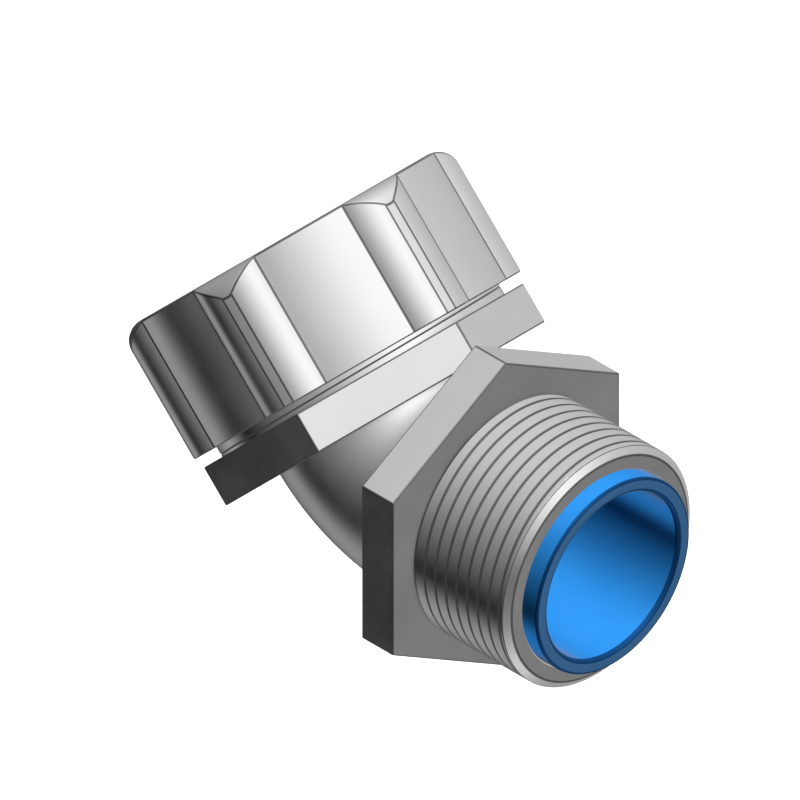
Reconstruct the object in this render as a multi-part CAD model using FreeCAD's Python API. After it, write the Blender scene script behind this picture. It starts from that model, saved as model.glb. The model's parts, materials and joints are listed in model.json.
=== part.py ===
import FreeCAD, Part
import math
import os
from FreeCAD import Placement, Rotation, Vector

# Liquidtight conduit connector, 45 degree elbow, trade size 1 inch. Millimetres, +Z up.
# The origin is the centre of the hub's shoulder face, and +X points out along the hub thread.
# The gland leans back and up from the elbow: its axis meets the hub axis at the crossing point.

# Sizes set by the conduit and the knockout that the fitting joins
conduit_diameter = 33.4
conduit_bore = 26.6
hub_thread_diameter = 33.4
hub_thread_length = 16.6

# Elbow casting
bend_angle = 45.0
bend_radius = 18.9
elbow_wall = 3.15
passage_step = 0.65         # the elbow's passage is this much wider than the liner, all round
hub_reach = 16.7            # crossing point to the hub's shoulder face
gland_reach = 12.35         # crossing point to the gland flange's outer face
flange_thickness = 5.6
flange_corner_margin = 2.8  # hex corners stand this far outside the gland thread
hub_chamfer_length = 0.7
hub_chamfer_depth = 1.05

# Gland neck, with the socket that takes the conduit's end
neck_length = 11.5
neck_wall = 3.45
neck_chamfer = 0.6
conduit_clearance = 0.35
socket_floor = 3.0          # metal left under the socket in the flange
mouth_length = 5.0
mouth_taper = 1.6

# Blue throat liner, pressed into the end of the hub
liner_wall = 2.05
liner_bore = 23.1
liner_length = 20.0
liner_projection = 2.4
liner_fit = 0.05
liner_end_chamfer = 0.35
liner_lead_in = 0.9

# Ferrule that screws into the conduit's bore and seats on the socket floor
ferrule_wall = 1.0
ferrule_fit = 0.2
ferrule_length = 13.0
ferrule_flange_thickness = 1.2
ferrule_rim_height = 1.6
ferrule_nose_length = 2.0
ferrule_nose_taper = 0.5

# Sealing ring, a wedge between the neck's mouth and the gland nut
running_gap = 0.3
ring_grip = 0.25            # radial room round the conduit
ring_nose_wall = 0.6
ring_collar_height = 4.4
ring_collar_bevel = 0.8

# Gland nut with six rounded ribs
nut_gap = 1.4               # flange to nut with the nut hand tight
nut_wall = 0.95
nut_lip = 3.5
nut_mouth_clearance = 0.5
nut_mouth_chamfer = 0.6
nut_entry_chamfer = 0.4
rib_count = 6
rib_height = 2.0
rib_crest_width = 1.43
rib_foot_width = 9.6
rib_flank_radius = 5.5
nut_top_radius = 3.0

# Radii that follow from the sizes above
socket_radius = conduit_diameter / 2 + conduit_clearance
neck_radius = socket_radius + neck_wall
flange_corner_radius = neck_radius + flange_corner_margin
hub_radius = hub_thread_diameter / 2
liner_radius = liner_bore / 2 + liner_wall
passage_radius = liner_bore / 2 + passage_step
elbow_radius = passage_radius + elbow_wall
nut_bore_radius = neck_radius + running_gap
nut_base_radius = nut_bore_radius + nut_wall
nut_crest_radius = nut_base_radius + rib_height
nut_mouth_radius = conduit_diameter / 2 + nut_mouth_clearance

# Stations along the two axes, measured from the crossing point
bend_tangent = bend_radius * math.tan(math.radians(bend_angle) / 2)
hub_end = hub_reach + hub_thread_length
liner_outer_end = hub_end + liner_projection
liner_inner_end = liner_outer_end - liner_length
socket_station = gland_reach - flange_thickness + socket_floor
neck_end = gland_reach + neck_length
nut_bottom = gland_reach + nut_gap
collar_bottom = neck_end + running_gap
collar_top = collar_bottom + ring_collar_height
nut_shoulder = collar_top + running_gap
nut_top = nut_shoulder + nut_lip

# Each axis has its own frame: local Z runs outward from the crossing point
crossing = Vector(-hub_reach, 0, 0)
hub_frame = Placement(crossing, Rotation(Vector(0, 1, 0), 90))
gland_frame = Placement(crossing, Rotation(Vector(0, 1, 0), bend_angle - 90))


def placed(shape, frame):
    """Copy a shape drawn about local Z into the part's own frame."""
    moved = shape.copy()
    moved.Placement = frame.multiply(moved.Placement)
    return moved


def turned(outline):
    """Revolve a closed (radius, station) outline about local Z."""
    corners = [Vector(radius, 0, station) for radius, station in outline]
    face = Part.Face(Part.makePolygon(corners + corners[:1]))
    return face.revolve(Vector(0, 0, 0), Vector(0, 0, 1), 360)


def rod(radius, start, end):
    """A solid cylinder about local Z between two stations."""
    return Part.makeCylinder(radius, end - start, Vector(0, 0, start))


def hex_flange(station):
    """A wrench flange whose outer face is at the station, with one corner toward local X."""
    corners = []
    for corner in range(6):
        angle = math.radians(60 * corner)
        corners.append(Vector(flange_corner_radius * math.cos(angle),
                              flange_corner_radius * math.sin(angle),
                              station - flange_thickness))
    face = Part.Face(Part.makePolygon(corners + corners[:1]))
    return face.extrude(Vector(0, 0, flange_thickness))


def bend(radius):
    """A round bar that turns from the hub axis to the gland axis."""
    start = crossing + Vector(bend_tangent, 0, 0)
    disc = Part.Face(Part.Wire(Part.makeCircle(radius, start, Vector(1, 0, 0))))
    return disc.revolve(start + Vector(0, 0, bend_radius), Vector(0, 1, 0), bend_angle)


def hub_spigot():
    """The threaded end of the hub, chamfered so that it starts easily."""
    tip_radius = hub_radius - hub_chamfer_depth
    return turned([(0, hub_reach), (hub_radius, hub_reach),
                   (hub_radius, hub_end - hub_chamfer_length), (tip_radius, hub_end), (0, hub_end)])


def gland_neck():
    """The threaded neck that the nut screws onto."""
    return turned([(0, gland_reach), (neck_radius, gland_reach), (neck_radius, neck_end - neck_chamfer),
                   (neck_radius - neck_chamfer, neck_end), (0, neck_end)])


def socket_cut():
    """The conduit socket and its tapered mouth."""
    return turned([(0, socket_station), (socket_radius, socket_station),
                   (socket_radius, neck_end - mouth_length),
                   (socket_radius + mouth_taper, neck_end), (0, neck_end)])


def elbow_body():
    """The one-piece casting: hub, elbow, two wrench flanges and gland neck, bored right through."""
    outside = bend(elbow_radius)
    for piece, frame in ((rod(elbow_radius, bend_tangent, hub_reach), hub_frame),
                         (hex_flange(hub_reach), hub_frame),
                         (hub_spigot(), hub_frame),
                         (rod(elbow_radius, bend_tangent, gland_reach), gland_frame),
                         (hex_flange(gland_reach), gland_frame),
                         (gland_neck(), gland_frame)):
        outside = outside.fuse(placed(piece, frame))
    inside = bend(passage_radius)
    for piece, frame in ((rod(passage_radius, bend_tangent, hub_end), hub_frame),
                         (rod(liner_radius + liner_fit, liner_inner_end, hub_end), hub_frame),
                         (rod(passage_radius, bend_tangent, neck_end), gland_frame),
                         (socket_cut(), gland_frame)):
        inside = inside.fuse(placed(piece, frame))
    return outside.cut(inside).removeSplitter()


def throat_liner():
    """The insulating sleeve, with an eased rim outside and a flared lead-in at the elbow."""
    bore_radius = liner_bore / 2
    return placed(turned([(bore_radius + liner_lead_in, liner_inner_end), (liner_radius, liner_inner_end),
                          (liner_radius, liner_outer_end),
                          (bore_radius + liner_end_chamfer, liner_outer_end),
                          (bore_radius, liner_outer_end - liner_end_chamfer),
                          (bore_radius, liner_inner_end + liner_lead_in)]), hub_frame)


def ferrule():
    """A drawn sleeve with a tapered nose, on a flange with a low rim round the conduit's cut end."""
    sleeve_radius = conduit_bore / 2 - ferrule_fit
    bore_radius = sleeve_radius - ferrule_wall
    rim_radius = socket_radius - ferrule_fit
    flange_top = socket_station + ferrule_flange_thickness
    rim_top = flange_top + ferrule_rim_height
    nose_end = socket_station + ferrule_length
    nose_start = nose_end - ferrule_nose_length
    return placed(turned([(bore_radius, socket_station), (rim_radius, socket_station),
                          (rim_radius, rim_top), (rim_radius - ferrule_wall, rim_top),
                          (rim_radius - ferrule_wall, flange_top), (sleeve_radius, flange_top),
                          (sleeve_radius, nose_start), (sleeve_radius - ferrule_nose_taper, nose_end),
                          (bore_radius, nose_end)]), gland_frame)


def sealing_ring():
    """The wedge that the nut drives into the neck's mouth, parallel to the mouth's taper."""
    inner_radius = conduit_diameter / 2 + ring_grip
    slope = mouth_taper / mouth_length
    mouth_edge = socket_radius + mouth_taper - running_gap
    nose_radius = inner_radius + ring_nose_wall
    nose_station = neck_end - (mouth_edge - nose_radius) / slope
    collar_radius = nut_bore_radius - running_gap
    return placed(turned([(inner_radius, nose_station), (nose_radius, nose_station),
                          (mouth_edge, neck_end), (mouth_edge, collar_bottom),
                          (collar_radius, collar_bottom), (collar_radius, collar_top - ring_collar_bevel),
                          (collar_radius - ring_collar_bevel, collar_top), (inner_radius, collar_top)]),
                  gland_frame)


def polar(radius, angle):
    """A point on the nut's cross-section."""
    return Vector(radius * math.cos(angle), radius * math.sin(angle), nut_bottom)


def rib_flank(crest, foot):
    """The rounded side of a rib: an outward arc from the crest's edge to the crease at its foot."""
    middle = (crest + foot) * 0.5
    half_chord = (crest - foot).Length / 2
    rise = rib_flank_radius - math.sqrt(rib_flank_radius ** 2 - half_chord ** 2)
    across = (crest - foot).cross(Vector(0, 0, 1)).normalize()
    if across.dot(middle - Vector(0, 0, middle.z)) < 0:
        across = -across
    return Part.Arc(crest, middle + across * rise, foot).toShape()


def nut_section():
    """The nut's outer cross-section: ribs on a round wall that shows as a lobe between them."""
    crest_half = math.asin(rib_crest_width / 2 / nut_crest_radius)
    foot_half = math.asin(rib_foot_width / 2 / nut_base_radius)
    step = 2 * math.pi / rib_count
    edges = []
    for rib in range(rib_count):
        centre = rib * step
        foot_before, foot_after = (polar(nut_base_radius, centre + side * foot_half) for side in (-1, 1))
        edge_before, edge_after = (polar(nut_crest_radius, centre + side * crest_half) for side in (-1, 1))
        edges += [rib_flank(edge_before, foot_before),
                  Part.Arc(edge_before, polar(nut_crest_radius, centre), edge_after).toShape(),
                  rib_flank(edge_after, foot_after),
                  Part.Arc(foot_after, polar(nut_base_radius, centre + step / 2),
                           polar(nut_base_radius, centre + step - foot_half)).toShape()]
    return Part.Face(Part.Wire(Part.__sortEdges__(edges)))


def nut_envelope():
    """A round blank whose top edge is radiused all round, which rounds off the ribs' tops."""
    blank = rod(nut_crest_radius, nut_bottom, nut_top)
    top_edge = [edge for edge in blank.Edges
                if edge.Closed and abs(edge.CenterOfMass.z - nut_top) < 1e-6]
    return blank.makeFillet(nut_top_radius, top_edge)


def nut_cut():
    """The nut's inside: threaded bore, shoulder for the sealing ring, and the conduit's mouth."""
    return turned([(0, nut_bottom), (nut_bore_radius + nut_entry_chamfer, nut_bottom),
                   (nut_bore_radius, nut_bottom + nut_entry_chamfer), (nut_bore_radius, nut_shoulder),
                   (nut_mouth_radius, nut_shoulder), (nut_mouth_radius, nut_top - nut_mouth_chamfer),
                   (nut_mouth_radius + nut_mouth_chamfer, nut_top), (0, nut_top)])


def gland_nut():
    """The ribbed nut that clamps the conduit."""
    prism = nut_section().extrude(Vector(0, 0, nut_top - nut_bottom))
    return placed(prism.common(nut_envelope()).cut(nut_cut()), gland_frame)


nodes = {
    "elbow_body": elbow_body(),
    "throat_liner": throat_liner(),
    "ferrule": ferrule(),
    "sealing_ring": sealing_ring(),
    "gland_nut": gland_nut(),
}

os.makedirs("parts", exist_ok=True)
for name, shape in nodes.items():
    shape.exportStep("parts/" + name + ".step")
    print(name, shape.ShapeType, len(shape.Solids), shape.isValid(), round(shape.Volume, 1))
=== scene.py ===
import json
import math

import bmesh
import bpy
from mathutils import Matrix, Vector


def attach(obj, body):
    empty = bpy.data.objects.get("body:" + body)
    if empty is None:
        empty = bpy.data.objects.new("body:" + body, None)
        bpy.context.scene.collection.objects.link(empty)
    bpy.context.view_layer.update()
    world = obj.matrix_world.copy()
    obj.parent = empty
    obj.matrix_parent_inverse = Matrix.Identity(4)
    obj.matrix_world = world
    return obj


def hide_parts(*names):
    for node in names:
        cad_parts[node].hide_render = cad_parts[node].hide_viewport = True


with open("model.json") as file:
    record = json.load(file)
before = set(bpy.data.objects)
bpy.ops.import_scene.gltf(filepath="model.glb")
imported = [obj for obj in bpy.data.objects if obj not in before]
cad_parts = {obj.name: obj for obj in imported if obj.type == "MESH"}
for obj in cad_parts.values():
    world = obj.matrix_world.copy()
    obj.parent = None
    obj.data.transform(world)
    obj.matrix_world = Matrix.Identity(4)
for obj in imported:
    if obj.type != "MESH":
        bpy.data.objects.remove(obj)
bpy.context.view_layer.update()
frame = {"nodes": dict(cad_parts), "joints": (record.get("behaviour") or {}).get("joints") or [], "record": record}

MM = 0.001
SMOOTH_LIMIT = math.radians(35)

# Material slots of a shape. Booleans keep a face in its slot.
SLOTS = SURFACE, CORNER, OTHER, THREAD, GROOVE, BORE = range(6)

# What the frame gives: the two axes, the thread sizes and where the pieces end
record = frame["record"]
mounts = {mount["name"]: mount for mount in record["mounts"]}
nut_turn = next(joint for joint in frame["joints"] if joint["name"] == "nut_turn")
crossing = Vector(nut_turn["pos_m"])
gland_axis = Vector(nut_turn["axis"]).normalized()
hub_axis = Vector(mounts["hub_thread"]["axis"]).normalized()
hub_radius = mounts["hub_thread"]["dims"]["r_mm"] * MM
gland_pitch = record["behaviour"]["couplings"][0]["ratio"] * 2 * math.pi


def axis_frame(axis):
    """Local Z along the axis from the crossing point, and local Y along the row's Y."""
    across = Vector((0, 1, 0))
    side = across.cross(axis)
    columns = Matrix((side, across, axis)).transposed()
    return Matrix.Translation(crossing) @ columns.to_4x4()


hub = axis_frame(hub_axis)
gland = axis_frame(gland_axis)


def extent(node, place):
    """Lowest station, highest station and largest radius of a CAD node about one of the two axes."""
    local = place.inverted()
    points = [local @ vertex.co for vertex in frame["nodes"][node].data.vertices]
    radii = [math.hypot(point.x, point.y) for point in points]
    stations = [point.z for point in points]
    return min(stations), max(stations), max(radii)


liner_inner_end, liner_outer_end, liner_radius = extent("throat_liner", hub)
nut_bottom, nut_top, nut_crest_radius = extent("gland_nut", gland)
ring_nose, ring_top, ring_collar_radius = extent("sealing_ring", gland)
ferrule_seat, ferrule_top, ferrule_rim_radius = extent("ferrule", gland)
neck_end = extent("elbow_body", gland)[1]
hub_end = extent("elbow_body", hub)[1]
hub_reach = -crossing.x

# Sizes of the casting
bend_angle = hub_axis.angle(-gland_axis)
bend_radius = 18.9 * MM
bend_tangent = bend_radius * math.tan(bend_angle / 2)
elbow_radius = 15.35 * MM
passage_radius = 12.2 * MM
gland_reach = 12.35 * MM
flange_thickness = 5.6 * MM
flange_corner_radius = 23.3 * MM
flange_edge = 0.2 * MM
hub_chamfer_length = 0.7 * MM
hub_chamfer_depth = 1.05 * MM
neck_radius = 20.5 * MM
neck_chamfer = 0.6 * MM
socket_radius = 17.05 * MM
mouth_length = 5.0 * MM
mouth_taper = 1.6 * MM
edge = 0.17 * MM

# Threads: the hub's pitch, each groove's width and depth, and where the first turns lie
hub_pitch = 1.88 * MM
hub_groove = (0.44 * MM, 0.24 * MM)
gland_groove = (0.24 * MM, 0.12 * MM)
nut_groove = (0.6 * MM, 0.3 * MM)
hub_relief = (0.5 * MM, 0.18 * MM)
hub_relief_ease = 0.475 * MM
hub_start_ease = 0.1 * MM
hub_thread_start = 14.63 * MM
gland_thread_start = 10.85 * MM

# Sizes of the nut
nut_bore_radius = 20.8 * MM
nut_base_radius = 21.75 * MM
nut_lip = 3.5 * MM
nut_mouth_radius = mounts["conduit_entry"]["dims"]["r_mm"] * MM
nut_mouth_chamfer = 0.6 * MM
nut_entry_chamfer = 0.4 * MM
nut_top_radius = 3.0 * MM
rib_count = 6
rib_crest_width = 1.43 * MM
rib_foot_width = 9.6 * MM
rib_flank_radius = 5.5 * MM
rib_edge = 0.14 * MM
crest_shares = (-0.4, 0.4)
rib_flank_steps = 14
wall_steps = 16
nut_fillet_steps = 10

# How far cutting shapes run on past what they cut, and stand clear of a surface that they must not cut
overrun = 2.0 * MM
room = 1.0 * MM
skin = 0.01 * MM

# Sizes of the liner, ring and ferrule
liner_bore_radius = mounts["wire_throat"]["dims"]["r_mm"] * MM
liner_end_chamfer = 0.35 * MM
liner_lead_in = 0.9 * MM
liner_fit = 0.05 * MM
ring_inner_radius = 16.95 * MM
ring_nose_wall = 0.6 * MM
ring_bevel = 0.8 * MM
running_gap = 0.3 * MM
ferrule_bore_radius = 12.1 * MM
ferrule_wall = 1.0 * MM
ferrule_flange = 1.2 * MM
ferrule_rim_height = 1.6 * MM
ferrule_nose = (2.0 * MM, 0.5 * MM)


def added(name, data):
    """A new object in the scene."""
    made = bpy.data.objects.new(name, data)
    bpy.context.scene.collection.objects.link(made)
    return made


def new_object(name, points, faces, place, lined=(), finish=SURFACE, lining=CORNER):
    """A mesh from points in one of the two axis frames. Its lined faces take the lining as their finish."""
    mesh = bpy.data.meshes.new(name)
    mesh.from_pydata(points, [], faces)
    mesh.transform(place)
    for _ in SLOTS:
        mesh.materials.append(None)
    for polygon in mesh.polygons:
        polygon.material_index = finish
    for index in lined:
        mesh.polygons[index].material_index = lining
    shape = bmesh.new()
    shape.from_mesh(mesh)
    bmesh.ops.recalc_face_normals(shape, faces=shape.faces)
    shape.to_mesh(mesh)
    shape.free()
    return added(name, mesh)


def eased(outline, steps=3):
    """Round each corner of a closed (x, y, ease) outline by its ease, and say which sides round a corner."""
    rounded, corner_sides = [], set()
    for index, (x, y, ease) in enumerate(outline):
        corner = Vector((x, y))
        if ease == 0:
            rounded.append(corner)
            continue
        before = Vector(outline[index - 1][:2])
        after = Vector(outline[(index + 1) % len(outline)][:2])
        start = corner + (before - corner).normalized() * ease
        end = corner + (after - corner).normalized() * ease
        corner_sides.update(range(len(rounded), len(rounded) + steps))
        for step in range(steps + 1):
            t = step / steps
            rounded.append(start * (1 - t) ** 2 + corner * 2 * t * (1 - t) + end * t ** 2)
    return rounded, corner_sides


def turned(name, outline, place, segments=160):
    """Revolve a closed outline about local Z. A point on the axis becomes a pole."""
    outline, corner_sides = eased(outline)
    points, rings = [], []
    for radius, station in outline:
        if radius == 0:
            rings.append([len(points)] * segments)
            points.append((0, 0, station))
            continue
        rings.append([len(points) + column for column in range(segments)])
        for column in range(segments):
            angle = 2 * math.pi * column / segments
            points.append((radius * math.cos(angle), radius * math.sin(angle), station))
    faces, lined = [], []
    for side, (ring, following) in enumerate(zip(rings, rings[1:] + rings[:1])):
        for column in range(segments):
            right = (column + 1) % segments
            loop = list(dict.fromkeys([ring[column], ring[right], following[right], following[column]]))
            if len(loop) > 2:
                if side in corner_sides:
                    lined.append(len(faces))
                faces.append(loop)
    return new_object(name, points, faces, place, lined)


def groove_profile(width, depth, pitch):
    """One turn of thread as (phase, depth) rows: a flat crest and a V groove with a rounded bottom."""
    half = width / pitch / 2
    rows = [(-0.5, 0), (-0.25 - half / 2, 0), (-half, 0), (-half * 0.8, 0.15), (-half * 0.3, 0.88), (0, 1)]
    rows += [(-phase, share) for phase, share in reversed(rows[1:5])]
    return [(phase + 0.5, share * depth) for phase, share in rows]


def helical_rod(name, radius, pitch, start, end, groove, place, sign=-1, segments=180):
    """A closed rod with a right-hand thread cut into its side (sign -1) or standing out of it (sign 1)."""
    rows = groove_profile(*groove, pitch)
    per_turn = len(rows)
    count = per_turn * (math.ceil((end - start) / pitch) + 3)
    points = []
    for row in range(count):
        phase, depth = rows[row % per_turn]
        for column in range(segments):
            angle = 2 * math.pi * column / segments
            station = start + pitch * (row // per_turn - 1 + phase + column / segments)
            reach = radius + sign * depth
            points.append((reach * math.cos(angle), reach * math.sin(angle), station))

    def at(row, column):
        """Index of a point. Past the last column comes the first one, a pitch higher."""
        if column == segments:
            return (row + per_turn) * segments
        return row * segments + column

    faces, lined = [], []
    for column in range(segments):
        top = count - 1 - (per_turn if column == segments - 1 else 0)
        for row in range(top):
            # Faces down in a groove take the groove lining, which is painted shade in the recess.
            if rows[row % per_turn][1] + rows[(row + 1) % per_turn][1] > 0:
                lined.append(len(faces))
            faces.append([at(row, column), at(row, column + 1), at(row + 1, column + 1), at(row + 1, column)])
    low = [at(0, column) for column in range(segments)]
    low += [at(row, 0) for row in range(per_turn, 0, -1)]
    high = [at(count - 1, column) for column in range(segments)]
    high += [at(row, segments - 1) for row in range(count - 2, count - 2 - per_turn, -1)]
    for boundary in (low, high):
        middle = sum(points[index][2] for index in boundary) / len(boundary)
        points.append((0, 0, middle))
        for index, following in zip(boundary, boundary[1:] + boundary[:1]):
            faces.append([index, following, len(points) - 1])
    return new_object(name, points, faces, place, lined, THREAD, GROOVE)


def ease_edges(made, width):
    """Round all the edges of a shape."""
    shape = bmesh.new()
    shape.from_mesh(made.data)
    bmesh.ops.bevel(shape, geom=list(shape.edges), offset=width, segments=3, profile=0.5,
                    affect="EDGES", material=CORNER)
    shape.to_mesh(made.data)
    shape.free()


def prism(name, outline, low, high, place):
    """Extrude a closed (x, y) outline along local Z."""
    count = len(outline)
    points = [(x, y, station) for station in (low, high) for x, y in outline]
    faces = [list(range(count)), list(range(count, 2 * count))]
    for index in range(count):
        right = (index + 1) % count
        faces.append([index, right, count + right, count + index])
    return new_object(name, points, faces, place)


def elbow_rod(name, radius, hub_station, gland_station, finish, segments=160, steps=28):
    """A closed round bar along the hub axis, round the bend and up the gland axis."""
    centre = crossing + hub_axis * bend_tangent + Vector((0, 0, bend_radius))
    sections = [Matrix.Translation(hub_axis * (hub_station - bend_tangent))]
    for step in range(steps + 1):
        turn = Matrix.Rotation(bend_angle * step / steps, 4, "Y")
        sections.append(Matrix.Translation(centre) @ turn @ Matrix.Translation(-centre))
    sections.append(Matrix.Translation(gland_axis * (gland_station - bend_tangent)) @ sections[-1])
    points = []
    for section in sections:
        for column in range(segments):
            angle = 2 * math.pi * column / segments
            rim = Vector((0, radius * math.cos(angle), radius * math.sin(angle)))
            points.append(section @ (crossing + hub_axis * bend_tangent + rim))
    faces = [list(range(segments)), list(range(len(points) - segments, len(points)))]
    for row in range(len(sections) - 1):
        for column in range(segments):
            right = (column + 1) % segments
            base, lifted = row * segments, (row + 1) * segments
            faces.append([base + column, base + right, lifted + right, lifted + column])
    return new_object(name, points, faces, Matrix.Identity(4), finish=finish)


def carved(target, operation, *tools):
    """Union, difference or intersection with other closed shapes, which are used up."""
    for tool in tools:
        modifier = target.modifiers.new("carve", "BOOLEAN")
        modifier.operation = operation
        modifier.solver = "MANIFOLD"
        modifier.object = tool
        result = bpy.data.meshes.new_from_object(target.evaluated_get(bpy.context.evaluated_depsgraph_get()))
        target.modifiers.clear()
        spent = target.data
        target.data = result
        bpy.data.meshes.remove(spent)
        bpy.data.objects.remove(tool)
    return target


def finished(made, node, material_slot, *materials):
    """Shade a piece, give it its materials, and let it stand for its CAD node on that node's body.

    The photo's metal shows no mirrored neighbours, so the pieces don't show in each other's gloss.
    """
    made.name = node + "_piece"
    made.data.name = made.name
    made.data.polygons.foreach_set("use_smooth", [True] * len(made.data.polygons))
    made.data.set_sharp_from_angle(angle=SMOOTH_LIMIT)
    made.modifiers.new("flat faces", "WEIGHTED_NORMAL").keep_sharp = True
    for index, material in enumerate(materials):
        made.data.materials[index] = material
    while len(made.data.materials) > len(materials):
        made.data.materials.pop()
    bodies = record["behaviour"]["bodies"]
    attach(made, next(body for body, nodes in bodies.items() if node in nodes))
    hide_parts(node)
    made.visible_glossy = False


def hex_flange(name, outer_station, place):
    """A wrench flange with lightly broken edges, one corner toward local X."""
    corners = [math.radians(60 * corner) for corner in range(6)]
    outline = [(flange_corner_radius * math.cos(a), flange_corner_radius * math.sin(a)) for a in corners]
    made = prism(name, outline, outer_station - flange_thickness, outer_station, place)
    ease_edges(made, flange_edge)
    return made


def hub_spigot():
    """The threaded hub: a threaded rod trimmed to a blank with a relief at the flange and a chamfered end."""
    tip = hub_radius - hub_chamfer_depth
    relief_length, relief_depth = hub_relief
    thread_root = hub_reach + relief_length
    relief_radius = hub_radius - relief_depth
    crest = hub_radius + skin
    blank = turned("blank", [(0, hub_reach - overrun, 0), (relief_radius, hub_reach - overrun, 0),
                             (relief_radius, thread_root, hub_relief_ease), (crest, thread_root, 0),
                             (crest, hub_end - hub_chamfer_length, hub_start_ease),
                             (tip, hub_end, edge), (0, hub_end, 0)], hub)
    rod = helical_rod("hub_thread", hub_radius, hub_pitch, hub_thread_start, hub_end, hub_groove, hub)
    return carved(rod, "INTERSECT", blank)


def gland_neck():
    """The threaded neck: a threaded rod trimmed to a blank with a small chamfer."""
    tail = neck_radius - overrun
    blank = turned("blank", [(0, gland_reach - overrun, 0), (tail, gland_reach - overrun, 0),
                             (tail, gland_reach, 0), (neck_radius + room, gland_reach, 0),
                             (neck_radius + room, neck_end - neck_chamfer - room, 0),
                             (neck_radius - neck_chamfer, neck_end, edge), (0, neck_end, 0)], gland)
    rod = helical_rod("gland_thread", neck_radius, gland_pitch, gland_thread_start, neck_end,
                      gland_groove, gland)
    return carved(rod, "INTERSECT", blank)


def elbow_body(*materials):
    """The casting, as one closed mesh bored right through."""
    body = elbow_rod("elbow", elbow_radius, hub_reach - overrun, gland_reach - overrun, OTHER)
    flanges = hex_flange("hub_flange", hub_reach, hub), hex_flange("gland_flange", gland_reach, gland)
    carved(body, "UNION", *flanges, hub_spigot(), gland_neck())
    bore = liner_radius + liner_fit
    liner_seat = turned("liner_seat", [(0, liner_inner_end, 0), (bore, liner_inner_end, 0),
                                       (bore, hub_end - edge, 0), (bore + edge, hub_end, 0),
                                       (bore + edge, hub_end + overrun, 0), (0, hub_end + overrun, 0)], hub)
    slope = mouth_taper / mouth_length
    socket = turned("socket", [(0, ferrule_seat, 0), (socket_radius, ferrule_seat, 0),
                               (socket_radius, neck_end - mouth_length, 0),
                               (socket_radius + mouth_taper + slope * overrun, neck_end + overrun, 0),
                               (0, neck_end + overrun, 0)], gland)
    passage = elbow_rod("passage", passage_radius, liner_inner_end + overrun, ferrule_seat + overrun, BORE)
    carved(body, "DIFFERENCE", liner_seat, socket, passage)
    finished(body, "elbow_body", "plated_casting", *materials)


def rib_flank(start, end):
    """Points from start to end, both left out, along an arc that bulges away from the axis."""
    middle = (start + end) / 2
    outward = Vector((end.y - start.y, start.x - end.x)).normalized()
    if outward.dot(middle) < 0:
        outward.negate()
    centre = middle - outward * math.sqrt(rib_flank_radius ** 2 - (end - start).length_squared / 4)
    points = []
    for step in range(1, rib_flank_steps):
        chord = start.lerp(end, step / rib_flank_steps) - centre
        points.append(centre + chord.normalized() * rib_flank_radius)
    return points


def polar(radius, angle):
    """A point of a cross-section."""
    return Vector((radius * math.cos(angle), radius * math.sin(angle)))


def nut_outline():
    """The nut's cross-section as (x, y, ease): six rounded ribs on a round wall."""
    crest_half = math.asin(rib_crest_width / 2 / nut_crest_radius)
    foot_half = math.asin(rib_foot_width / 2 / nut_base_radius)
    outline = []
    for rib in range(rib_count):
        centre = 2 * math.pi * rib / rib_count
        wall_angle = 2 * math.pi / rib_count - 2 * foot_half
        foot_before, foot_after = (polar(nut_base_radius, centre + side * foot_half) for side in (-1, 1))
        crest_before, crest_after = (polar(nut_crest_radius, centre + side * crest_half) for side in (-1, 1))
        outline.append((*foot_before, edge))
        outline += [(*point, 0) for point in rib_flank(foot_before, crest_before)]
        outline.append((*crest_before, rib_edge))
        outline += [(*polar(nut_crest_radius, centre + crest_half * share), 0) for share in crest_shares]
        outline.append((*crest_after, rib_edge))
        outline += [(*point, 0) for point in rib_flank(crest_after, foot_after)]
        outline.append((*foot_after, edge))
        for step in range(1, wall_steps):
            angle = centre + foot_half + wall_angle * step / wall_steps
            outline.append((*polar(nut_base_radius, angle), 0))
    return eased(outline, steps=2)


def nut_blank():
    """The nut's outside: the ribbed section, with its top edge radiused all round and a flat, turned top."""
    outline, corner_sides = nut_outline()
    flat_radius = nut_crest_radius - nut_top_radius
    fillet_centre = nut_top - nut_top_radius
    rings = []
    for x, y in outline:
        reach = math.hypot(x, y)
        start = math.acos(min(1, (reach - flat_radius) / nut_top_radius))
        profile = [(reach - edge, nut_bottom), (reach, nut_bottom + edge),
                   (reach, fillet_centre + nut_top_radius * math.sin(start) - edge)]
        start += edge / nut_top_radius
        for step in range(nut_fillet_steps + 1):
            turn = start + (math.pi / 2 - start) * step / nut_fillet_steps
            profile.append((flat_radius + nut_top_radius * math.cos(turn),
                            fillet_centre + nut_top_radius * math.sin(turn)))
        rings.append([(x / reach * radius, y / reach * radius, station) for radius, station in profile])
    rows = len(rings[0])
    count = len(rings)
    points = [ring[row] for row in range(rows) for ring in rings]
    faces = [list(range(count)), list(range((rows - 1) * count, rows * count))]
    lined = []
    bottom_ease, wall, top_ease = range(3)
    for row in range(rows - 1):
        for column in range(count):
            right = (column + 1) % count
            if row in (bottom_ease, top_ease) or row == wall and column in corner_sides:
                lined.append(len(faces))
            base, lifted = row * count, (row + 1) * count
            faces.append([base + column, base + right, lifted + right, lifted + column])
    made = new_object("nut", points, faces, gland, lined)
    # Painted shade: the flat top takes a darker, rougher copy of the plating.
    top = made.data.polygons[1]
    top.material_index = OTHER
    return made


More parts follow.
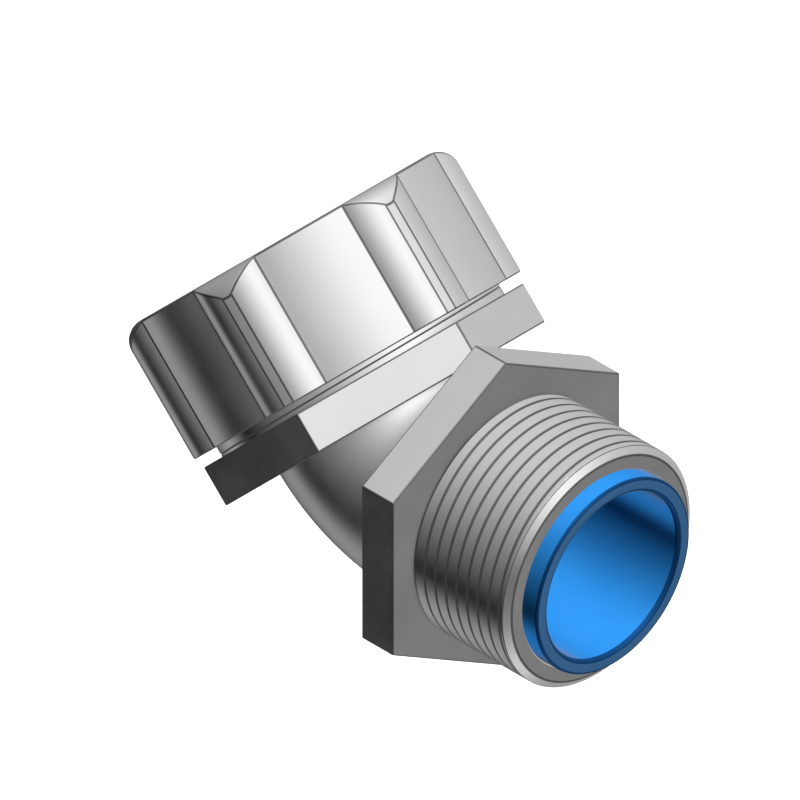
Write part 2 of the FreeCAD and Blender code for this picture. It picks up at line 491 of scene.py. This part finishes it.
def gland_nut(*materials):
    """The ribbed nut, bored, threaded inside and open at the top for the conduit."""
    nut = nut_blank()
    shoulder = nut_top - nut_lip
    stop = turned("stop", [(0, nut_bottom - overrun, 0), (nut_bore_radius + room, nut_bottom - overrun, 0),
                           (nut_bore_radius + room, shoulder, 0), (0, shoulder, 0)], gland)
    thread = helical_rod("nut_thread", nut_bore_radius, gland_pitch, nut_bottom - overrun, shoulder,
                         nut_groove, gland, sign=1)
    carved(thread, "INTERSECT", stop)
    wide = nut_bore_radius + nut_entry_chamfer + overrun
    entry = turned("entry", [(0, nut_bottom - overrun, 0), (wide, nut_bottom - overrun, 0),
                             (nut_bore_radius, nut_bottom + nut_entry_chamfer, 0),
                             (0, nut_bottom + nut_entry_chamfer, 0)], gland)
    mouth = turned("mouth", [(0, shoulder - overrun, 0), (nut_mouth_radius, shoulder - overrun, 0),
                             (nut_mouth_radius, nut_top - nut_mouth_chamfer, edge),
                             (nut_mouth_radius + nut_mouth_chamfer, nut_top, edge),
                             (nut_mouth_radius + nut_mouth_chamfer, nut_top + overrun, 0),
                             (0, nut_top + overrun, 0)], gland)
    carved(nut, "DIFFERENCE", thread, entry, mouth)
    finished(nut, "gland_nut", "plated_nut", *materials)


def throat_liner(surface, corner, shaded_end):
    """The blue sleeve, with a lightly rounded rim and painted shade on its end faces."""
    bore = liner_bore_radius
    liner = turned("liner", [(bore + liner_lead_in, liner_inner_end, edge),
                             (liner_radius, liner_inner_end, edge), (liner_radius, liner_outer_end, 2 * edge),
                             (bore + liner_end_chamfer, liner_outer_end, edge),
                             (bore, liner_outer_end - liner_end_chamfer, edge),
                             (bore, liner_inner_end + liner_lead_in, edge)], hub, 192)
    # Painted shade: faces turned along the axis take darker colours, the end faces the shaded end colour and the
    # sloping ones the dark edge-line colour.
    flat, sloping = 0.9, 0.4
    for polygon in liner.data.polygons:
        facing = polygon.normal.dot(hub_axis)
        if polygon.material_index == SURFACE and facing > sloping:
            polygon.material_index = OTHER if facing > flat else CORNER
    finished(liner, "throat_liner", "blue_insulator", surface, corner, shaded_end)


def sealing_ring(surface, corner):
    """The nylon wedge under the nut, with moulded edges."""
    slope = mouth_taper / mouth_length
    outer = socket_radius + mouth_taper - running_gap
    nose_radius = ring_inner_radius + ring_nose_wall
    collar = neck_end + running_gap
    ring = turned("ring", [(ring_inner_radius, ring_nose, edge), (nose_radius, ring_nose, edge),
                           (outer, neck_end, 0), (outer, collar, edge),
                           (ring_collar_radius, collar, 2 * edge),
                           (ring_collar_radius, ring_top - ring_bevel, edge),
                           (ring_collar_radius - ring_bevel, ring_top, edge),
                           (ring_inner_radius, ring_top, 2 * edge)], gland)
    finished(ring, "sealing_ring", "ring_nylon", surface, corner)


def ferrule(surface, corner):
    """The drawn steel sleeve on its flange."""
    sleeve = ferrule_bore_radius + ferrule_wall
    nose_length, nose_taper = ferrule_nose
    flange_top = ferrule_seat + ferrule_flange
    rim_top = flange_top + ferrule_rim_height
    rim_bore = ferrule_rim_radius - ferrule_wall
    made = turned("ferrule", [(ferrule_bore_radius, ferrule_seat, edge),
                              (ferrule_rim_radius, ferrule_seat, edge),
                              (ferrule_rim_radius, rim_top, edge), (rim_bore, rim_top, edge),
                              (rim_bore, flange_top, 2 * edge), (sleeve, flange_top, 2 * edge),
                              (sleeve, ferrule_top - nose_length, edge),
                              (sleeve - nose_taper, ferrule_top, edge),
                              (ferrule_bore_radius, ferrule_top, edge)], gland)
    finished(made, "ferrule", "plated_steel", surface, corner)


def new_material(name):
    """A material, its node tree and its main shader."""
    material = bpy.data.materials.new(name)
    material.use_nodes = True
    return material, material.node_tree, material.node_tree.nodes["Principled BSDF"]


def add_node(tree, kind, *sources, output=None, **settings):
    """Add a shader node, feed its inputs in order from sockets or plain values, and return an output."""
    node = tree.nodes.new(kind)
    for key, value in settings.items():
        setattr(node, key, value)
    for socket, source in zip((item for item in node.inputs if item.enabled), sources):
        if isinstance(source, bpy.types.NodeSocket):
            tree.links.new(source, socket)
        else:
            socket.default_value = source
    if output:
        return node.outputs[output]
    return next(item for item in node.outputs if item.enabled)


def add_noise(tree, place, scale, detail, roughness=0.5):
    """A noise pattern fixed to the piece."""
    return add_node(tree, "ShaderNodeTexNoise", place, scale, detail, roughness)


def add_span(tree, factor, low, high, start=0.0, end=1.0):
    """Go from the low value to the high one as the factor goes from start to end."""
    return add_node(tree, "ShaderNodeMapRange", factor, start, end, low, high)


def add_blend(tree, factor, first, last, start=0.0, end=1.0):
    """Go from the first colour to the last one as the factor goes from start to end."""
    node = tree.nodes.new("ShaderNodeValToRGB")
    for element, position, colour in zip(node.color_ramp.elements, (start, end), (first, last)):
        element.position = position
        element.color = (*colour, 1)
    tree.links.new(factor, node.inputs["Fac"])
    return node.outputs["Color"]


def add_bump(tree, height, strength, depth):
    """Turn a height into a bumped normal."""
    node = tree.nodes.new("ShaderNodeBump")
    node.inputs["Strength"].default_value = strength
    node.inputs["Distance"].default_value = depth
    tree.links.new(height, node.inputs["Height"])
    return node.outputs["Normal"]


def plated_metal(name, tones, grain, rough, metallic=1.0, hollow=0.7 * MM, darkest=0.75):
    """Zinc plating: cloudy tone, uneven roughness, a fine grain, and painted shade darkening creases and hollows.
    """
    material, tree, surface = new_material(name)
    surface.inputs["Metallic"].default_value = metallic
    clear, cloudy = tones
    grain_scale, grain_depth = grain
    place = add_node(tree, "ShaderNodeTexCoord", output="Object")
    cloud = add_noise(tree, place, scale=90.0, detail=5.0, roughness=0.6)
    tone = add_blend(tree, cloud, cloudy, clear, start=0.3, end=0.7)
    white = (1, 1, 1, 1)
    # Painted shade: ambient occlusion darkens the base colour in creases and hollows, down to the darkest share.
    open_sky = add_node(tree, "ShaderNodeAmbientOcclusion", white, hollow, output="AO", samples=8)
    crease_shade = add_span(tree, open_sky, darkest, 1.0, start=0.25, end=0.85)
    shade = add_node(tree, "ShaderNodeMix", 1.0, tone, crease_shade, data_type="RGBA", blend_type="MULTIPLY")
    tree.links.new(shade, surface.inputs["Base Color"])
    wear = add_span(tree, cloud, rough - 0.04, rough + 0.05, start=0.3, end=0.7)
    tree.links.new(wear, surface.inputs["Roughness"])
    texture = add_noise(tree, place, scale=grain_scale, detail=3.0, roughness=0.7)
    bumped = add_bump(tree, texture, strength=0.25, depth=grain_depth)
    tree.links.new(bumped, surface.inputs["Normal"])
    return material


def blue_plastic(name, dark, light):
    """Moulded blue plastic with a faint flow pattern. Its gloss is mostly blue, as in the photo."""
    material, tree, surface = new_material(name)
    surface.inputs["IOR"].default_value = 1.49
    surface.inputs["Metallic"].default_value = 0.88
    surface.inputs["Specular Tint"].default_value = (0.45, 0.7, 1.0, 1)
    place = add_node(tree, "ShaderNodeTexCoord", output="Object")
    flow = add_noise(tree, place, scale=140.0, detail=3.0)
    tree.links.new(add_blend(tree, flow, dark, light), surface.inputs["Base Color"])
    tree.links.new(add_span(tree, flow, 0.14, 0.2), surface.inputs["Roughness"])
    texture = add_noise(tree, place, scale=2600.0, detail=2.0)
    bumped = add_bump(tree, texture, strength=0.12, depth=0.02 * MM)
    tree.links.new(bumped, surface.inputs["Normal"])
    return material


def natural_nylon():
    """Unpigmented nylon: warm white, slightly waxy."""
    material, tree, surface = new_material("ring_nylon")
    surface.inputs["Subsurface Weight"].default_value = 0.25
    surface.inputs["Subsurface Radius"].default_value = (1.2 * MM, 0.9 * MM, 0.6 * MM)
    place = add_node(tree, "ShaderNodeTexCoord", output="Object")
    cloud = add_noise(tree, place, scale=220.0, detail=4.0)
    tone = add_blend(tree, cloud, (0.70, 0.68, 0.60), (0.80, 0.79, 0.73))
    tree.links.new(tone, surface.inputs["Base Color"])
    tree.links.new(add_span(tree, cloud, 0.38, 0.5), surface.inputs["Roughness"])
    return material


# Plating tones, clear and cloudy. The dark ones stand for the lines that the photo draws on edges.
bright = ((0.62, 0.62, 0.615), (0.58, 0.58, 0.58))
cast_tones = ((0.60, 0.60, 0.595), (0.54, 0.54, 0.54))
bore_shade_tones = ((0.50, 0.50, 0.495), (0.42, 0.42, 0.42))
top_shade_tones = ((0.43, 0.43, 0.425), (0.38, 0.38, 0.38))
steel_tones = ((0.66, 0.655, 0.64), (0.58, 0.575, 0.56))
corner_tones = ((0.17, 0.17, 0.17), (0.13, 0.13, 0.13))
# Painted shade: the groove tones darken the whole recess of each thread groove.
groove_shade_tones = ((0.14, 0.14, 0.14), (0.11, 0.11, 0.11))

# Grains, as noise scale and depth
cast_grain = (900.0, 0.05 * MM)
tumbled_grain = (1500.0, 0.02 * MM)
cut_grain = (2200.0, 0.01 * MM)
turned_grain = (2200.0, 0.012 * MM)
drawn_grain = (3000.0, 0.01 * MM)

casting_metal = plated_metal("plated_casting", bright, tumbled_grain, rough=0.2)
casting_corner = plated_metal("plated_casting_corner", corner_tones, tumbled_grain, rough=0.35)
casting_skin = plated_metal("plated_casting_skin", cast_tones, cast_grain, rough=0.26, metallic=0.9)
# Painted shade: the passage takes a darker copy of the plating, and occlusion reaching 16 mm darkens it further
# inside.
casting_bore_shade = plated_metal("plated_casting_bore_shade", bore_shade_tones, cast_grain, rough=0.32,
                            hollow=16 * MM, darkest=0.3)
thread_metal = plated_metal("plated_thread", bright, cut_grain, rough=0.2)
# Painted shade: the dark groove tones go into the thread grooves.
thread_groove_shade = plated_metal("plated_thread_groove_shade", groove_shade_tones, cut_grain, rough=0.4)
nut_metal = plated_metal("plated_nut", bright, turned_grain, rough=0.27)
nut_corner = plated_metal("plated_nut_corner", corner_tones, turned_grain, rough=0.32)
# Painted shade: a darker copy of the nut's plating for its flat top.
nut_top_shade = plated_metal("plated_nut_top_shade", top_shade_tones, turned_grain, rough=0.4)
# Painted shade: occlusion reaching 8 mm darkens the ferrule's inside down to half.
steel = plated_metal("plated_steel", steel_tones, drawn_grain, rough=0.25, hollow=8 * MM, darkest=0.5)
blue = blue_plastic("blue_insulator", (0.028, 0.325, 0.93), (0.038, 0.37, 1.0))
blue_corner = blue_plastic("blue_insulator_corner", (0.004, 0.05, 0.17), (0.006, 0.06, 0.2))
# Painted shade: a darker copy of the blue for the faces turned along the axis.
blue_end_shade = blue_plastic("blue_insulator_end_shade", (0.085, 0.255, 0.54), (0.11, 0.31, 0.66))
nylon = natural_nylon()

elbow_body(casting_metal, casting_corner, casting_skin, thread_metal, thread_groove_shade, casting_bore_shade)
gland_nut(nut_metal, nut_corner, nut_top_shade, thread_metal, thread_groove_shade)
throat_liner(blue, blue_corner, blue_end_shade)
sealing_ring(nylon, nylon)
ferrule(steel, steel)

# The camera looks along the photo's isometric direction. These are its axes in the row frame.
toward_camera = Vector((1, -1, 1)).normalized()
camera_right = Vector((1, 1, 0)).normalized()
camera_up = Vector((-1, 1, 2)).normalized()
photo_width = 800
pixels_per_metre = 7960.0
crossing_pixel = (412.5, 460.4)
camera_distance = 0.6


def toward(right, up, depth):
    """A direction given along the camera's right, its up and back toward it."""
    return (camera_right * right + camera_up * up + toward_camera * depth).normalized()


def add_camera():
    """Set up the photo's isometric camera, and return the point that its middle looks at."""
    middle = photo_width / 2
    target = (crossing + camera_right * (middle - crossing_pixel[0]) / pixels_per_metre
              + camera_up * (crossing_pixel[1] - middle) / pixels_per_metre)
    data = bpy.data.cameras.new("camera")
    data.type = "ORTHO"
    data.ortho_scale = photo_width / pixels_per_metre
    made = added("camera", data)
    made.matrix_world = Matrix.Translation(target + toward_camera * camera_distance) @ Matrix(
        (camera_right, camera_up, toward_camera)).transposed().to_4x4()
    bpy.context.scene.camera = made
    return target


def add_lamp(name, target, direction, distance, size, strength):
    """A square softbox that faces the object. Its strength is the level that it gives a white card there."""
    data = bpy.data.lights.new(name, "AREA")
    data.size = size
    data.energy = strength * (math.pi * distance) ** 2
    made = added(name, data)
    made.location = target + direction * distance
    made.rotation_euler = (-direction).to_track_quat("-Z", "Y").to_euler()
    made.visible_camera = False
    made.visible_glossy = False


def add_floor(level):
    """A wide pale floor well under the fitting, white to the camera but for the shadow on it."""
    mesh = bpy.data.meshes.new("floor")
    half = 6.0
    mesh.from_pydata([(-half, -half, level), (half, -half, level), (half, half, level), (-half, half, level)],
                     [], [(0, 1, 2, 3)])
    made = added("floor", mesh)
    material, tree, surface = new_material("floor")
    surface.inputs["Base Color"].default_value = (0.8, 0.8, 0.8, 1)
    surface.inputs["Roughness"].default_value = 0.9
    glow = add_node(tree, "ShaderNodeEmission", (1, 1, 1, 1), 0.8)
    lit = add_node(tree, "ShaderNodeAddShader", glow, surface.outputs["BSDF"])
    dim = add_node(tree, "ShaderNodeBsdfDiffuse", (0.2, 0.2, 0.2, 1))
    seen = add_node(tree, "ShaderNodeLightPath", output="Is Camera Ray")
    shown = add_node(tree, "ShaderNodeMixShader", seen, dim, lit)
    tree.links.new(shown, tree.nodes["Material Output"].inputs["Surface"])
    mesh.materials.append(material)
    made.visible_glossy = False
    made.visible_transmission = False


# What shiny surfaces see around them, besides white: (right, up, back toward the camera), amount, sharpness
studio_lobes = {
    "softbox over the camera": ((0.106, 0.636, 0.764), 1.196, 4.72),
    "softbox right of the camera": ((0.775, 0.015, 0.631), 0.662, 11.8),
    "dark left side": ((-0.814, -0.545, -0.201), -0.908, 0.89),
    "black card low on the left": ((-0.828, -0.423, -0.367), -0.126, 24.8),
    "strip on the far left": ((-0.711, -0.337, -0.618), 0.306, 31.0),
    "glow low behind on the left": ((-0.435, -0.441, -0.785), 0.168, 26.0),
    "dark wall behind": ((0, -0.028, -1), -0.337, 30.3),
    "dark wall behind on the left": ((-0.381, 0.142, -0.913), -0.428, 14.2),
    "strip under the camera": ((0.292, -0.912, -0.288), 0.589, 21.2),
    "dark card behind on the right": ((0.79, -0.433, -0.434), -0.463, 9.55),
    "dark card low on the right": ((0.417, -0.685, 0.598), -0.441, 9.56),
    "glow above and behind": ((0.37, 0.908, -0.195), 0.217, 4.46),
}


def studio_level(tree):
    """White, with the studio's soft boxes and dark cards as smooth patches fixed in the room.

    A patch adds amount * exp(sharpness * (cosine - 1)), with the cosine of the angle from its middle.
    """
    direction = add_node(tree, "ShaderNodeTexCoord", output="Generated")
    level = 1.0
    for aim, amount, sharpness in studio_lobes.values():
        cosine = add_node(tree, "ShaderNodeVectorMath", direction, toward(*aim), operation="DOT_PRODUCT")
        falloff = add_node(tree, "ShaderNodeMath", cosine, sharpness, -sharpness, operation="MULTIPLY_ADD")
        patch = add_node(tree, "ShaderNodeMath", falloff, operation="EXPONENT")
        level = add_node(tree, "ShaderNodeMath", patch, amount, level, operation="MULTIPLY_ADD")
    return add_node(tree, "ShaderNodeMath", level, 0.0, operation="MAXIMUM")


def add_world(fill):
    """White to the camera, the studio to shiny surfaces, and a plain fill for matt ones."""
    world = bpy.data.worlds.new("studio")
    bpy.context.scene.world = world
    world.use_nodes = True
    tree = world.node_tree
    glossy, transmitted, seen = (add_node(tree, "ShaderNodeLightPath", output=name)
                                 for name in ("Is Glossy Ray", "Is Transmission Ray", "Is Camera Ray"))
    shiny = add_node(tree, "ShaderNodeMath", glossy, transmitted, operation="MAXIMUM")
    lighting = add_node(tree, "ShaderNodeMix", shiny, fill, studio_level(tree))
    level = add_node(tree, "ShaderNodeMix", seen, lighting, 1.0)
    background = tree.nodes["Background"]
    background.inputs["Color"].default_value = (1, 1, 1, 1)
    tree.links.new(level, background.inputs["Strength"])


matt_fill = 0.08
floor_level = -0.16

target = add_camera()
add_world(matt_fill)
add_floor(floor_level)
add_lamp("key", target, toward(0.54, 0.38, 0.75), distance=0.55, size=0.4, strength=1.35)
add_lamp("back", target, Vector((-0.5, 0.45, 0.74)).normalized(), distance=0.55, size=0.4, strength=0.5)
add_lamp("low", target, Vector((0.6, 0, -0.8)), distance=0.18, size=0.12, strength=0.25)
bpy.context.scene.view_settings.view_transform = "Standard"
